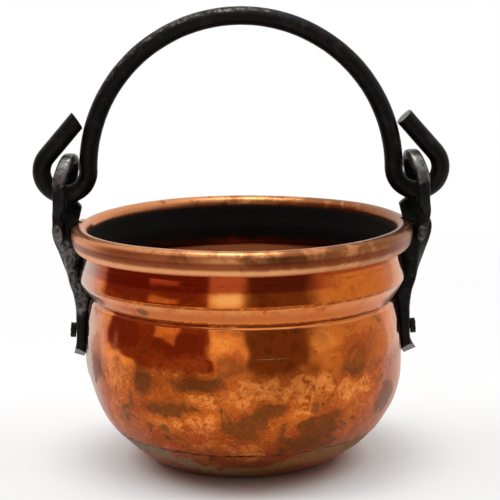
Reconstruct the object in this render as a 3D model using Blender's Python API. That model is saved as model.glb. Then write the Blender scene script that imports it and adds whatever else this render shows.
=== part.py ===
"""Copper cauldron: a raised bowl with a wired rim, two forged strap ears and an iron bail hooked in them."""

import math

import bmesh
import bpy
from mathutils import Matrix, Vector

MM = 0.001

# Bowl, one raised copper sheet: outside radii drawn in from the rim, and heights dropped from it.
RIM_R = 75.0 * MM
RIM_Z = 102.0 * MM
ROLL_R, ROLL_DROP = 3.5 * MM, 7.2 * MM
WALL = 1.2 * MM
NECK_R, NECK_Z = RIM_R - 5.2 * MM, RIM_Z - 9.0 * MM
BULGE_R, BULGE_Z = RIM_R - 3.2 * MM, RIM_Z - 19.8 * MM
GROOVE_R, GROOVE_Z = RIM_R - 6.8 * MM, RIM_Z - 30.6 * MM
SHOULDER_R, SHOULDER_Z = RIM_R - 5.9 * MM, RIM_Z - 32.6 * MM
BELLY_R, BELLY_Z = RIM_R - 5.3 * MM, 44.0 * MM
BASE_R = 34.0 * MM
BELLY_FULLNESS = 0.65
CURL_END = math.radians(-112.0)
SEGMENTS = 48
FACET = math.cos(math.pi / SEGMENTS)

# Clearance that touching pieces keep.
GAP = 0.3 * MM

# Bail: round bar, a half circle between two open hooks whose bends turn in the eyes.
BAR_R = 4.2 * MM
HOOK_INNER_R = 6.0 * MM
HOOK_R = HOOK_INNER_R + BAR_R
HOOK_PAST = math.radians(41.0)
TAIL_GAP = 0.4 * MM
EYE_X = RIM_R + 1.8 * MM
SEAT_Z = RIM_Z + 12.2 * MM
PIN_Z = SEAT_Z + BAR_R
BAIL_R = EYE_X - HOOK_R

# Ears: a strap riveted at its foot, twisted above the bulge and folded over into the eye.
STRAP_T = 4.6 * MM
FOOT_W, FOOT_T = 11.0 * MM, 4.1 * MM
SHANK_W = 8.0 * MM
ROOT_W = 10.0 * MM
STRAND_W = 6.0 * MM
TIP_W = 4.8 * MM
RIVET_Z = RIM_Z - 44.6 * MM
FOOT_DROP = 11.0 * MM
FOOT_FLARE = 1.8 * MM
RIM_CLEAR = 0.5 * MM
BRIDGE_DIP = 0.9 * MM
TIP_LAP = 3.0 * MM
TIP_OUT = 1.1 * MM
EYE_TWIST = 11.0
EYE_SIDE = 2.9 * MM
EYE_HALF = BAR_R + EYE_SIDE + STRAP_T / 2
EYE_RISE = 6.4 * MM
EYE_LEAN = 2.2 * MM

# Rivets and the roves under their peened ends.
SHANK_R = 2.2 * MM
HEAD_R = 3.4 * MM
HEAD_H = 2.2 * MM
PEEN_R = 3.1 * MM
PEEN_H = 1.4 * MM
ROVE_R = 4.2 * MM
ROVE_T = 1.0 * MM

# Colour, metallic and roughness of the two metals.
COPPER = ((0.72, 0.30, 0.14), 1.0, 0.3)
IRON = ((0.025, 0.022, 0.02), 0.9, 0.5)


def smooth(t):
    return t * t * (3.0 - 2.0 * t)


def bowl_radius(z):
    """Outside radius of the copper at height z, from the base to the roll."""
    if z < BELLY_Z:
        return BASE_R + (BELLY_R - BASE_R) * (1.0 - (1.0 - z / BELLY_Z) ** 2) ** BELLY_FULLNESS
    knots = [(BELLY_Z, BELLY_R), (SHOULDER_Z, SHOULDER_R), (GROOVE_Z, GROOVE_R), (BULGE_Z, BULGE_R),
             (NECK_Z, NECK_R), (RIM_Z, RIM_R - 2 * ROLL_R + WALL)]
    for (z0, r0), (z1, r1) in zip(knots, knots[1:]):
        if z <= z1:
            return r0 + (r1 - r0) * smooth((z - z0) / (z1 - z0))
    return knots[-1][1]


def wall_slope(z):
    """How fast the bowl widens with height at z."""
    return (bowl_radius(z + MM) - bowl_radius(z - MM)) / (2 * MM)


def rove_lift():
    """How far the wall's curve pushes a flat rove off it, past what the clearance takes up."""
    tangent = bowl_radius(RIVET_Z)
    bow = max(tangent + wall_slope(RIVET_Z) * z - bowl_radius(RIVET_Z + z) for z in (-ROVE_R, ROVE_R))
    return max(bow - 0.3 * GAP, 0.0)


def rounded(angle):
    """A point of a square with well-rounded corners, two units each way, as hammered iron has them."""
    squareness = 0.55
    c, s = math.cos(angle), math.sin(angle)
    return Vector((math.copysign(abs(c) ** squareness, c), math.copysign(abs(s) ** squareness, s), 0.0))


def material(name, colour, metallic, roughness):
    mat = bpy.data.materials.new(name)
    mat.use_nodes = True
    shader = mat.node_tree.nodes["Principled BSDF"]
    shader.inputs["Base Color"].default_value = (*colour, 1.0)
    shader.inputs["Metallic"].default_value = metallic
    shader.inputs["Roughness"].default_value = roughness
    return mat


def add_object(name, data, look):
    data.materials.append(material(name, *look))
    obj = bpy.data.objects.new(name, data)
    bpy.context.scene.collection.objects.link(obj)
    return obj


def add_mesh(name, bm, look):
    mesh = bpy.data.meshes.new(name)
    bm.to_mesh(mesh)
    bm.free()
    mesh.shade_smooth()
    return add_object(name, mesh, look)


def turned(name, outline, look, steps, closed=False):
    """A solid or a sheet turned about Z from an outline that runs down its outer side."""
    bm = bmesh.new()
    verts = [bm.verts.new((r, 0.0, z)) for r, z in outline]
    for a, b in zip(verts, verts[1:] + verts[:1] if closed else verts[1:]):
        bm.edges.new((a, b))
    obj = add_mesh(name, bm, look)
    screw = obj.modifiers.new("turn", "SCREW")
    screw.axis = "Z"
    screw.steps = screw.render_steps = steps
    screw.use_merge_vertices = True
    screw.merge_threshold = 1e-6
    screw.use_smooth_shade = True
    return obj


def rivet_frame(side):
    """Frame on the copper at a rivet: Z runs out along the wall's normal, X runs up the strap."""
    slope = wall_slope(RIVET_Z)
    up = Vector((side * slope, 0.0, 1.0)).normalized()
    out = Vector((side, 0.0, -slope)).normalized()
    frame = Matrix((up, out.cross(up), out)).transposed().to_4x4()
    frame.translation = (side * bowl_radius(RIVET_Z) * FACET, 0.0, RIVET_Z)
    return frame


def cut_hole(obj, side):
    """A clearance hole for the rivet's shank."""
    hole_r = SHANK_R + GAP
    bm = bmesh.new()
    bmesh.ops.create_cone(bm, cap_ends=True, segments=16, radius1=hole_r, radius2=hole_r, depth=5 * STRAP_T)
    bmesh.ops.transform(bm, matrix=rivet_frame(side), verts=bm.verts)
    cutter = add_mesh(obj.name + "_drill", bm, IRON)
    cutter.hide_render = True
    cutter.display_type = "WIRE"
    cut = obj.modifiers.new("rivet hole", "BOOLEAN")
    cut.operation = "DIFFERENCE"
    cut.solver = "EXACT"
    cut.object = cutter


def make_bowl():
    """The outer face as a turned sheet, given its wall on the inner side and two rivet holes."""
    quarter = [i * math.pi / 18 for i in range(10)]
    heights = [BELLY_Z * (1.0 - math.cos(a)) for a in quarter]
    for z0, z1, rings in ((BELLY_Z, SHOULDER_Z, 4), (SHOULDER_Z, GROOVE_Z, 2), (GROOVE_Z, BULGE_Z, 5),
                          (BULGE_Z, NECK_Z, 4), (NECK_Z, RIM_Z, 3)):
        heights += [z0 + (z1 - z0) * i / rings for i in range(1, rings + 1)]
    turns = 12
    curl = [math.pi + (CURL_END - math.pi) * i / turns for i in range(1, turns + 1)]
    sheet = [(0.0, 0.0)] + [(bowl_radius(z), z) for z in heights]
    sheet += [(RIM_R - ROLL_R + (ROLL_R - WALL) * math.cos(a),
               RIM_Z + ((ROLL_R if a > 0 else ROLL_DROP) - WALL) * math.sin(a)) for a in curl]
    bowl = turned("bowl", sheet[::-1], COPPER, SEGMENTS)
    bowl.rotation_euler.z = math.pi / SEGMENTS
    wall = bowl.modifiers.new("sheet", "SOLIDIFY")
    wall.thickness = WALL
    wall.offset = -1.0
    wall.use_even_offset = True
    for side in (-1, 1):
        cut_hole(bowl, side)


def make_rim_wire():
    """The ring of iron wire that the copper rim is rolled round."""
    wire_r = ROLL_R - WALL - 1.3 * GAP
    outline = [(RIM_R - ROLL_R + wire_r * math.cos(a), RIM_Z + wire_r * math.sin(a))
               for a in (-i * math.pi / 5 for i in range(10))]
    wire = turned("rim_wire", outline, IRON, SEGMENTS, closed=True)
    wire.rotation_euler.z = math.pi / SEGMENTS


def ear_route():
    """Stations of the ear's bar: out, front, height, twist in degrees, width and thickness."""
    slope = wall_slope(RIVET_Z)
    on_copper = bowl_radius(RIVET_Z) * FACET + GAP + FOOT_T / 2
    flat = 1.3 * HEAD_R

    def foot(rise, lift, width, thick):
        return Vector((on_copper + slope * rise + lift, 0.0, RIVET_Z + rise, 90.0, width, thick))

    def bedded(row):
        outer = row[0] + row[5] / 2 - BRIDGE_DIP
        inner = bowl_radius(row[2]) + 3 * GAP
        return Vector(((outer + inner) / 2, *row[1:5], outer - inner))

    # The riveted foot, then the bridge to the bulge, which dips and is beaten down into the groove.
    rows = [foot(-FOOT_DROP, FOOT_FLARE, 0.86 * FOOT_W, FOOT_T),
            foot(-0.5 * (FOOT_DROP + flat), 0.3 * FOOT_FLARE, FOOT_W, FOOT_T)]
    rows += [foot(rise, lift, FOOT_W, FOOT_T) for rise, lift in ((-flat, 0.0), (0.0, 0.0), (flat, GAP))]
    bulge = Vector((BULGE_R + 1.7 * GAP + STRAP_T / 2, 0.0, BULGE_Z - MM, 86.0, SHANK_W, STRAP_T))
    rows += [bedded(rows[-1].lerp(bulge, share)) for share in (1 / 3, 2 / 3)] + [bulge]

    # The twist that turns the bar on edge beside the rim.
    rim = Vector((RIM_R + RIM_CLEAR + SHANK_W / 2, 0.0, RIM_Z, 24.0, SHANK_W, STRAP_T))
    rows += [bulge.lerp(rim, 0.5), rim]

    # The bar spreads at the eye's root, the arch folds over, and the front strand comes down again.
    over = math.sin(math.radians(EYE_TWIST)) * EYE_HALF
    side = math.cos(math.radians(EYE_TWIST)) * EYE_HALF
    rows += [Vector((EYE_X + share_x * over, share_y * side, z, twist, width, STRAP_T))
             for share_x, share_y, z, twist, width in (
                 (0.05, -0.13, RIM_Z + 0.45 * (SEAT_Z - RIM_Z), 17.0, SHANK_W),
                 (-0.75, -0.39, SEAT_Z - 0.75 * STRAP_T, 13.0, ROOT_W),
                 (-0.8, -0.8, SEAT_Z + STRAP_T / 4, EYE_TWIST, STRAND_W))]
    rows += [Vector((EYE_X + over * math.cos(a) - EYE_LEAN * math.sin(a), side * math.cos(a),
                     PIN_Z + EYE_RISE + EYE_HALF * math.sin(a), EYE_TWIST, STRAND_W, STRAP_T))
             for a in (math.pi - i * math.pi / 6 for i in range(7))]
    rows += [Vector((EYE_X + 1.15 * over, 0.86 * side, SEAT_Z + 0.3 * STRAP_T, EYE_TWIST, STRAND_W, STRAP_T)),
             Vector((EYE_X + 1.9 * over, 0.56 * side, SEAT_Z - 0.87 * STRAP_T, 16.0,
                     0.5 * (STRAND_W + TIP_W), 0.9 * STRAP_T))]

    # The drawn-out tip laps over the neck, in front of the rim.
    rows += [Vector((rim.x + TIP_OUT, STRAP_T + GAP, RIM_Z + TIP_LAP, 22.0, TIP_W, 0.8 * STRAP_T)),
             Vector((rim.x + TIP_OUT, STRAP_T - GAP, RIM_Z - TIP_LAP, 26.0, 0.8 * TIP_W, 0.6 * STRAP_T))]
    return rows


def spline(rows, steps):
    """Catmull-Rom points through the rows."""
    points = []
    padded = [2 * rows[0] - rows[1]] + rows + [2 * rows[-1] - rows[-2]]
    for a, b, c, d in zip(padded, padded[1:], padded[2:], padded[3:]):
        for t in (i / steps for i in range(steps)):
            points.append(0.5 * (2 * b + (c - a) * t + (2 * a - 5 * b + 4 * c - d) * t ** 2
                                 + (3 * b - a - 3 * c + d) * t ** 3))
    return points + [rows[-1]]


def make_ear(name, side):
    """The bar's rounded section, extruded from frame to frame along the route."""
    stations = spline(ear_route(), 3)
    spots = [Vector((out, -front, height)) for out, front, height, *_ in stations]
    frames = []
    for i, (spot, station) in enumerate(zip(spots, stations)):
        twist, width, thick = math.radians(station[3]), station[4], station[5]
        ahead = (spots[min(i + 1, len(spots) - 1)] - spots[max(i - 1, 0)]).normalized()
        face = ahead.cross(Vector((math.cos(twist), math.sin(twist), 0.0))).normalized()
        frame = Matrix((face.cross(ahead) * width / 2, face * thick / 2, ahead * MM)).transposed().to_4x4()
        frame.translation = spot
        frames.append(frame)
    bm = bmesh.new()
    sides = 12
    ring = [bm.verts.new(frames[0] @ rounded((i + 0.5) * math.tau / sides)) for i in range(sides)]
    loop = [bm.edges.new(pair) for pair in zip(ring, ring[1:] + ring[:1])]
    bmesh.ops.contextual_create(bm, geom=loop)
    for last, frame in zip(frames, frames[1:]):
        grown = bmesh.ops.extrude_edge_only(bm, edges=loop)["geom"]
        verts = [g for g in grown if isinstance(g, bmesh.types.BMVert)]
        loop = [g for g in grown if isinstance(g, bmesh.types.BMEdge) and len(g.link_faces) == 1]
        bmesh.ops.transform(bm, matrix=frame @ last.inverted(), verts=verts)
    bmesh.ops.contextual_create(bm, geom=loop)
    bmesh.ops.scale(bm, vec=(side, 1.0, 1.0), verts=bm.verts)
    bmesh.ops.recalc_face_normals(bm, faces=bm.faces)
    cut_hole(add_mesh(name, bm, IRON), side)


def bail_half():
    """The bar's centre line from the right tail to the top, in X and Z about the hinge line."""
    end = Vector((EYE_X, HOOK_R)) + HOOK_R * Vector((math.cos(HOOK_PAST), math.sin(HOOK_PAST)))
    along = Vector((-math.sin(HOOK_PAST), math.cos(HOOK_PAST)))
    # The tail runs straight until its inner corner is TAIL_GAP short of the leg's half circle.
    corner = end - BAR_R * Vector((along.y, -along.x)) - Vector((0.0, HOOK_R))
    lean = corner.dot(along)
    reach = BAIL_R + BAR_R + TAIL_GAP
    tail = -lean - math.sqrt(max(lean ** 2 - corner.length_squared + reach ** 2, 0.0))
    bend = [HOOK_PAST - (math.pi + HOOK_PAST) * i / 18 for i in range(19)]
    arc = [math.pi / 2 * i / 16 for i in range(1, 17)]
    return ([end + along * tail, end + along * tail / 2]
            + [Vector((EYE_X + HOOK_R * math.cos(a), HOOK_R + HOOK_R * math.sin(a))) for a in bend]
            + [Vector((BAIL_R * math.cos(a), HOOK_R + BAIL_R * math.sin(a))) for a in arc])


def make_bail():
    """One capped bar, with its origin on the hinge line through both hook bends."""
    half = bail_half()
    line = half + [Vector((-p.x, p.y)) for p in half[-2::-1]]
    curve = bpy.data.curves.new("bail", "CURVE")
    curve.dimensions = "3D"
    curve.bevel_depth = BAR_R
    curve.bevel_resolution = 4
    curve.use_fill_caps = True
    path = curve.splines.new("POLY")
    path.points.add(len(line) - 1)
    for point, p in zip(path.points, line):
        point.co = (p.x, 0.0, p.y, 1.0)
    path.use_smooth = True
    bail = add_object("bail", curve, IRON)
    bail.location.z = PIN_Z


def make_rivet(name, side):
    """Rivet: flattened head on the strap, shank through strap, wall and rove, peened end inside the bowl."""
    seat = FOOT_T + 2.5 * GAP
    back = -WALL - 2 * GAP - ROVE_T - rove_lift()
    arc = [i * math.pi / 8 for i in range(5)]
    outline = [(HEAD_R * rounded(a).y, seat + HEAD_H * rounded(a).x) for a in arc]
    outline += [(SHANK_R, seat), (SHANK_R, back)]
    outline += [(PEEN_R * math.cos(a), back - PEEN_H * math.sin(a)) for a in arc]
    rivet = turned(name, outline, IRON, 16)
    rivet.matrix_world = rivet_frame(side)


def make_rove(name, side):
    """Flat washer that spreads the peened end's load on the thin copper."""
    face = -WALL - GAP - rove_lift()
    bore = SHANK_R + GAP
    outline = [(ROVE_R, face), (ROVE_R, face - ROVE_T), (bore, face - ROVE_T), (bore, face)]
    rove = turned(name, outline, COPPER, 24, closed=True)
    rove.matrix_world = rivet_frame(side)


for old in list(bpy.data.objects):
    bpy.data.objects.remove(old, do_unlink=True)

make_bowl()
make_rim_wire()
make_bail()
for word, hand in (("left", -1), ("right", 1)):
    make_ear("ear_" + word, hand)
    make_rivet("rivet_" + word, hand)
    make_rove("rove_" + word, hand)
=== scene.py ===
"""Looks of a small copper cauldron: hand-raised bowl, wired rim, forged ears, rivets and an iron bail."""

import math

import bmesh
import bpy
import numpy as np
from mathutils import Matrix, Vector, noise


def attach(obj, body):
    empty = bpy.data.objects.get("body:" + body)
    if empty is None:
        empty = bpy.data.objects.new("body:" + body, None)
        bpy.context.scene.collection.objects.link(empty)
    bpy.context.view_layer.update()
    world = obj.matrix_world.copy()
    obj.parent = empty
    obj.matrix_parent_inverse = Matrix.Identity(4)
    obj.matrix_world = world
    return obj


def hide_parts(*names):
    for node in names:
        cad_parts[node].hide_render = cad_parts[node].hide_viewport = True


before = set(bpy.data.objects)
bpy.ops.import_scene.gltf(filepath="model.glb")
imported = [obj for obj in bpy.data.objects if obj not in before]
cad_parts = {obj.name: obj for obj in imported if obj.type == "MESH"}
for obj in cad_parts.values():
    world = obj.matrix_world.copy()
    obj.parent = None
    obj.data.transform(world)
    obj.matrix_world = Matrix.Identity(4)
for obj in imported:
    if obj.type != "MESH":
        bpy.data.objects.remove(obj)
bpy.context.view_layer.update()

# The bowl is raised from one disc of copper with a hammer, so its wall is never quite round or fair.
# A bead is worked in under the neck, and the rim is curled out and down round an iron wire.
# Sizes are in millimetres: outside radii with the heights they stand at.
MM = 0.001
RIM_R, RIM_Z, ROLL_R, ROLL_DROP, WALL = 74.8, 102.0, 3.5, 7.2, 1.2
NECK_R, NECK_Z = 69.8, 93.0
BULGE_R, BULGE_Z = 71.8, 82.2
GROOVE_R, GROOVE_Z = 66.9, 73.6
SHOULDER_R, SHOULDER_Z = 67.7, 71.6
BELLY_R, BELLY_Z = 69.7, 44.0
BASE_R, BASE_HOLLOW = 34.0, 0.25
CREASE_Z, CREASE_BAND = 16.5, 4.5
LOWER_CURVE, UPPER_CURVE, BEAD_CRISP = 0.65, 2.6, 0.5
CURL_END = math.radians(-112.0)
ROUND_STEPS, BASE_STEPS, CURL_STEPS = 300, 10, 30


def ease(t):
    t = min(max(t, 0.0), 1.0)
    return t * t * (3.0 - 2.0 * t)


def wall_radius(z):
    """Outside radius at height z, from the base to where the curl begins."""
    if z < BELLY_Z:
        return BASE_R + (BELLY_R - BASE_R) * (1.0 - (1.0 - z / BELLY_Z) ** 2) ** LOWER_CURVE
    if z < SHOULDER_Z:
        return BELLY_R + (SHOULDER_R - BELLY_R) * ((z - BELLY_Z) / (SHOULDER_Z - BELLY_Z)) ** UPPER_CURVE
    knots = [(SHOULDER_Z, SHOULDER_R), (GROOVE_Z, GROOVE_R), (BULGE_Z, BULGE_R), (NECK_Z, NECK_R),
             (RIM_Z, RIM_R - 2 * ROLL_R + WALL)]
    for (z0, r0), (z1, r1) in zip(knots, knots[1:]):
        if z <= z1:
            crisp = BEAD_CRISP if GROOVE_Z < z1 <= NECK_Z else 0.0
            t = (z - z0) / (z1 - z0)
            return r0 + (r1 - r0) * (crisp * t + (1.0 - crisp) * ease(t))
    return knots[-1][1]


def sheet_line():
    """The sheet's outer face from the middle of the base, up the wall, over the wire and under the curl."""
    flat_share = 0.7
    line = [(BASE_R * i / BASE_STEPS, BASE_HOLLOW * (1.0 - ease(i / (flat_share * BASE_STEPS))))
            for i in range(BASE_STEPS)]
    crease_low, crease_high = CREASE_Z - CREASE_BAND, CREASE_Z + CREASE_BAND
    for z0, z1, rings in ((0.0, crease_low, 14), (crease_low, crease_high, 20), (crease_high, BELLY_Z, 14),
                          (BELLY_Z, SHOULDER_Z, 16), (SHOULDER_Z, GROOVE_Z, 6), (GROOVE_Z, BULGE_Z, 14),
                          (BULGE_Z, NECK_Z, 12), (NECK_Z, RIM_Z, 6)):
        line += [(wall_radius(z), z) for z in (z0 + (z1 - z0) * i / rings for i in range(rings))]
    for a in (math.pi + (CURL_END - math.pi) * i / CURL_STEPS for i in range(CURL_STEPS + 1)):
        tall = (ROLL_R if a > 0.0 else ROLL_DROP) - WALL
        line.append((RIM_R - ROLL_R + (ROLL_R - WALL) * math.cos(a), RIM_Z + tall * math.sin(a)))
    return line


# What the hammer and the years did to the sheet: depths and breadths of the marks, and for some of them
# the heights at which they begin, are full, start to fade and have gone.
BROAD_DENT, BROAD_SIZE, SMALL_DENT, SMALL_SIZE = 0.60, 21.0, 0.20, 8.0
EXTRA_DENT, BEAD_SHARE = 0.12, 0.45
DENTED, MORE_DENTED = (1.0, 9.0, 92.0, 98.0), (46.0, 52.0, 68.0, 72.0)
LEFT_FLAT, FLATTENED = 1.5, (0.0, 14.0, 31.0, 47.0)
GROOVE_TILT, TILTED = 0.9, (58.0, 68.0, 75.0, 81.0)
CREASE_STEP, CREASE_SOFT, CREASE_FOOT, CREASE_WANDER = 0.35, 0.9, 5.0, 1.6
RIM_WAVE, WAVE_LOW, WAVE_FULL = 0.5, 80.0, 98.0
KINK_DROP, KINK_TURN, KINK_EDGE, KINK_TRAIL = 1.2, math.radians(167.0), 0.03, 0.25
EAR_FOOT_Z, EAR_HALF, EAR_FADE = 40.0, 0.08, 0.22


def within(z, start, full, fading, end):
    """1 between full and fading, easing to 0 at start and end."""
    return ease((z - start) / (full - start)) * ease((end - z) / (end - fading))


def rim_kink(turn):
    """How far the rim is knocked down behind the left ear: a sharp step that dies away to the back."""
    past = KINK_TURN - turn
    return KINK_DROP * math.exp(-past / KINK_TRAIL if past > 0.0 else -(past / KINK_EDGE) ** 2)


def round_noise(c, s, waves, seed):
    """Noise that runs round the bowl and meets itself."""
    return noise.noise(Vector((waves * c, waves * s, seed)))


def raised_bowl():
    """Turns the sheet and knocks it about: dents, a wandering crease above the base, a rim that waves."""
    line = np.array(sheet_line())
    ahead = np.gradient(line, axis=0)
    out = np.stack([ahead[:, 1], -ahead[:, 0]], 1)
    out /= np.linalg.norm(out, axis=1)[:, None]
    verts, below = [], []
    for step in range(ROUND_STEPS):
        turn = math.tau * step / ROUND_STEPS
        c, s = math.cos(turn), math.sin(turn)
        left = max(-c, 0.0) ** 2
        clear_of_ears = ease((abs(s) - EAR_HALF) / EAR_FADE)
        crease = CREASE_Z + CREASE_WANDER * round_noise(c, s, waves=2.1, seed=3.0)
        wave = RIM_WAVE * round_noise(c, s, waves=1.4, seed=8.0) * clear_of_ears
        for (r, z), (nr, nz) in zip(line, out):
            spot = Vector((r * c, r * s, z))
            small = SMALL_DENT + EXTRA_DENT * within(z, *MORE_DENTED)
            push = BROAD_DENT * noise.noise(spot / BROAD_SIZE)
            push += small * noise.noise(spot / SMALL_SIZE + Vector((5, 1, 7)))
            push *= within(z, *DENTED)
            push *= clear_of_ears if z > EAR_FOOT_Z else 1.0
            push *= BEAD_SHARE if z > GROOVE_Z else 1.0
            push -= CREASE_STEP * within(z, 0.0, CREASE_FOOT, crease - CREASE_SOFT, crease)
            rr = r + nr * push - LEFT_FLAT * left * within(z, *FLATTENED)
            zz = z + nz * push - GROOVE_TILT * c * clear_of_ears * within(z, *TILTED)
            zz += (wave - rim_kink(turn)) * ease((z - WAVE_LOW) / (WAVE_FULL - WAVE_LOW))
            verts.append((rr * c * MM, rr * s * MM, max(zz, 0.0) * MM))
            below.append(crease - z)
    return verts, below, len(line)


def bowl_mesh():
    verts, below, rings = raised_bowl()
    faces = []
    for step in range(ROUND_STEPS):
        here, there = step * rings, (step + 1) % ROUND_STEPS * rings
        faces += [(here + i, there + i, there + i + 1, here + i + 1) for i in range(rings - 1)]
    mesh = bpy.data.meshes.new("bowl_copper")
    mesh.from_pydata(verts, [], faces)
    mesh.attributes.new("below_crease", "FLOAT", "POINT").data.foreach_set("value", below)
    bm = bmesh.new()
    bm.from_mesh(mesh)
    bmesh.ops.remove_doubles(bm, verts=bm.verts, dist=0.001 * MM)
    bm.to_mesh(mesh)
    bm.free()
    mesh.shade_smooth()
    return mesh


def add_piece(name, mesh):
    piece = bpy.data.objects.new(name, mesh)
    bpy.context.scene.collection.objects.link(piece)
    return piece


bowl = add_piece("bowl_copper", bowl_mesh())
sheet = bowl.modifiers.new("sheet", "SOLIDIFY")
sheet.thickness = WALL * MM
sheet.offset = -1.0
sheet.use_even_offset = True
sheet.material_offset = 1


class Value:
    """An output in a node tree. Arithmetic on it adds Math nodes, and node() adds any other kind."""

    def __init__(self, tree, socket):
        self.tree, self.socket = tree, socket

    def node(self, kind, sockets=None, output=0, **settings):
        made = self.tree.nodes.new(kind)
        for name, setting in settings.items():
            setattr(made, name, setting)
        for key, value in (sockets or {}).items():
            if isinstance(value, Value):
                self.tree.links.new(value.socket, made.inputs[key])
            else:
                made.inputs[key].default_value = value
        return Value(self.tree, made.outputs[output])

    def math(self, operation, *values):
        return self.node("ShaderNodeMath", dict(enumerate(values)), operation=operation)

    def __add__(self, other):
        return self.math("ADD", self, other)

    def __sub__(self, other):
        return self.math("SUBTRACT", self, other)

    def __rsub__(self, other):
        return self.math("SUBTRACT", other, self)

    def __mul__(self, other):
        return self.math("MULTIPLY", self, other)

    def __abs__(self):
        return self.math("ABSOLUTE", self)

    __radd__ = __add__
    __rmul__ = __mul__

    def most(self, other):
        return self.math("MAXIMUM", self, other)

    def least(self, other):
        return self.math("MINIMUM", self, other)

    def rise(self, low, high):
        """0 below low, 1 above high, eased between; falls where low is the larger."""
        return self.node("ShaderNodeMapRange", {"Value": self, "From Min": low, "From Max": high},
                         interpolation_type="SMOOTHSTEP")

    def vector(self, operation, *values, output=0):
        sockets = dict(enumerate((self, *values)))
        return self.node("ShaderNodeVectorMath", sockets, output, operation=operation)

    def scaled(self, by):
        return self.node("ShaderNodeVectorMath", {0: self, "Scale": by}, operation="SCALE")

    def length(self):
        return self.vector("LENGTH", output="Value")

    def part(self, axis):
        """One of a vector's X, Y and Z."""
        return self.node("ShaderNodeSeparateXYZ", {0: self}, output=axis)

    def shift(self, *by):
        return self.vector("ADD", by)

    def stretch(self, turn, scale):
        """The place turned by Euler degrees and then shrunk by scale, for marks that run one way."""
        return self.node("ShaderNodeMapping", {"Vector": self, "Rotation": [math.radians(a) for a in turn],
                                               "Scale": scale}, vector_type="TEXTURE")

    def noise(self, size, detail=4.0, warp=0.0, rough=0.55, output=0):
        """Cloudy noise whose blotches are about size across."""
        return self.node("ShaderNodeTexNoise", {"Vector": self, "Scale": 1.0 / size, "Detail": detail,
                                                "Roughness": rough, "Distortion": warp}, output)

    def blend(self, first, second):
        """From one colour to another as this mask goes from 0 to 1."""
        first, second = (c if isinstance(c, Value) else (*c, 1.0) for c in (first, second))
        return self.node("ShaderNodeMix", {0: self, 6: first, 7: second}, output=2, data_type="RGBA")

    def over(self, colour, mask):
        """This colour covered by another where mask is 1."""
        return mask.blend(self, colour)


def new_finish(name):
    """A material, its shader and the place on the piece in millimetres."""
    look = bpy.data.materials.new(name)
    look.use_nodes = True
    tree = look.node_tree
    place = Value(tree, tree.nodes.new("ShaderNodeTexCoord").outputs["Object"])
    return look, tree.nodes["Principled BSDF"], place.scaled(1.0 / MM)


def put(shader, **sockets):
    """Links what changes over the surface to the shader's sockets."""
    for name, value in sockets.items():
        value.tree.links.new(value.socket, shader.inputs[name.replace("_", " ")])


def bumped(height, depth):
    return height.node("ShaderNodeBump", {"Height": height, "Distance": depth * MM})


# Outside, the copper was polished and then used: the upper belly still shines, the middle is scoured in
# short strokes, heat has left brown clouds, and red clouds that are partly heat stain and partly a painted
# dark reflection, and a dull crust sits below the crease at the base. The bead, neck and shoulder carry
# painted shade, highlights and reflection, and the belly's outer edges a painted sheen.
# Places of these marks: degrees round from the front, height, half width and half height.
STAINS = ((-6, 57, 6, 4), (-15, 49, 10, 4), (-29, 37, 15, 4), (-2, 30, 9, 6), (10, 38, 7, 3),
          (27, 27, 10, 8), (42, 54, 6, 7), (-37, 49, 5, 7), (-66, 53, 6, 9), (62, 34, 8, 6),
          (112, 36, 14, 6), (165, 44, 12, 8), (205, 30, 9, 6), (-118, 34, 10, 9))
RED_STAINS_AND_REFLECTIONS = ((16, 20, 14, 5), (-18, 28, 6, 4), (-33, 22, 11, 5), (-50, 66, 11, 6), (-24, 65, 15, 5),
        (-33, 87, 21, 5.5), (-5, 58, 8, 6), (45, 60, 13, 7), (68, 48, 9, 9), (130, 62, 14, 6),
        (180, 26, 20, 6), (-140, 60, 15, 7), (-85, 28, 10, 6))
GOLDS = ((-16, 57, 9, 5), (-14, 42, 7, 4), (-2, 46, 8, 6), (19, 46, 18, 5), (20, 36, 7, 3.5),
         (-15, 34, 9, 4), (-29, 32, 8, 4), (3, 18, 5, 4.5), (-48, 52, 10, 8), (42, 44, 8, 5),
         (28, 66, 8, 4), (-8, 66, 6, 4), (-26, 57, 10, 4), (90, 46, 16, 7), (140, 38, 16, 8),
         (190, 50, 14, 7), (-95, 44, 14, 8), (-150, 40, 15, 7))
SPOTS = ((25, 38, 2.2, 2.4), (-30, 28.5, 2.2, 2.2), (-37, 77.5, 3, 2.2), (95, 30, 2.4, 2),
         (210, 48, 2.6, 2.2))
PAINTED_HIGHLIGHTS = ((-5, 85.2, 6.0, 2.6), (160, 85, 9, 2.5))
SCRATCHES = ((10, 60, 6.5, 0.22), (120, 58, 7, 0.22), (-160, 60, 6, 0.22))
PATCH_SOFT, PATCH_PULL = 0.75, 0.24
POLISH_LOW, POLISH_FULL = 50.0, 57.0
DEEP_COPPER, WARM_COPPER, BRIGHT_COPPER = (0.36, 0.065, 0.010), (0.57, 0.126, 0.018), (0.86, 0.215, 0.030)
GOLD, HEAT_RED_AND_REFLECTION, HEAT_BROWN = (0.88, 0.255, 0.042), (0.37, 0.048, 0.010), (0.165, 0.048, 0.011)
SCOUR_PALE, PIT_BROWN, GLINT = (0.95, 0.40, 0.12), (0.12, 0.032, 0.008), (0.88, 0.31, 0.07)
SCRATCH_PALE, SPOT_BROWN, BEAD_PAINTED_HIGHLIGHT = (0.95, 0.66, 0.42), (0.14, 0.055, 0.018), (0.97, 0.45, 0.13)
BEAD_REFLECTION_LOW, BEAD_REFLECTION_HIGH, BEAD_CREST_PAINTED_DARK = (0.56, 0.16, 0.045), (0.74, 0.28, 0.10), (0.16, 0.022, 0.005)
NECK_PAINTED_SHADE, NECK_PAINTED_DARK_LINE = (0.30, 0.026, 0.010), (0.05, 0.012, 0.005)
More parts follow.
